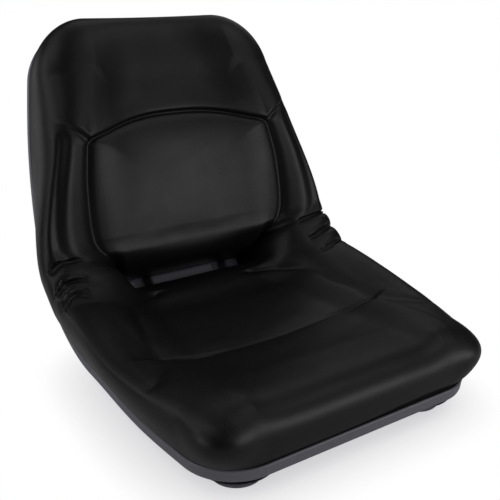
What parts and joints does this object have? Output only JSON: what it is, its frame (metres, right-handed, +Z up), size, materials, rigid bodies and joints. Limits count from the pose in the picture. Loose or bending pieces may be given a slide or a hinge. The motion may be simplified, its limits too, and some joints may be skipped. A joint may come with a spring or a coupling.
{
  "type": "bucket seat",
  "caption": "Black bucket seat with a high back: a moulded cushion with bolsters, lumbar panel and folds, in a pressed-steel pan on round feet with bolt holes.",
  "frame": {"origin": "middle of the four mounting holes, on the plane of the feet's pads", "axes": "+X across the seat, +Y toward the backrest, +Z up"},
  "size_m": [0.487, 0.5857, 0.4827],
  "materials": {
    "pan_paint": "satin dark paint",
    "cushion_vinyl": "grained black vinyl skin over foam",
    "zinc": "zinc plated",
    "nylon": "moulded"
  },
  "bodies": {
    "root": {"seat_pan": "pan_paint", "cushion": "cushion_vinyl", "weld_nuts": "zinc", "cushion_clips": "nylon"}
  },
  "joints": []
}
